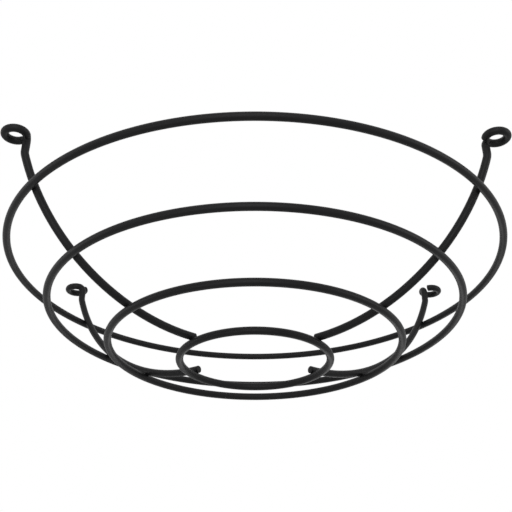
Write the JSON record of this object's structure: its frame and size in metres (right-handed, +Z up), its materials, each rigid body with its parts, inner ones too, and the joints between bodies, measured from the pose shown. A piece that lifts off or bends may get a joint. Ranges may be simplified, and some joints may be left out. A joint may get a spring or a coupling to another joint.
{
  "type": "bulb cage guard",
  "caption": "Bowl-shaped wire guard of level rings welded to curved ribs, each rib ending in a flat round eye that screws to a lamp shade's rim, so nothing strikes the bulb.",
  "frame": {"origin": "on the axis of the rings, at the underside of the bottom ring", "axes": "+Z up along the axis of the rings, from the bottom ring to the eyes; X midway between the two ribs that lie closest together, on each side"},
  "size_m": [0.3553, 0.3554, 0.1128],
  "materials": {
    "coated_wire": "satin black powder coat"
  },
  "bodies": {
    "root": {"bottom_ring": "coated_wire", "lower_ring": "coated_wire", "upper_ring": "coated_wire", "top_ring": "coated_wire", "rib_back_right": "coated_wire", "rib_back_left": "coated_wire", "rib_front_left": "coated_wire", "rib_front_right": "coated_wire"}
  },
  "joints": []
}
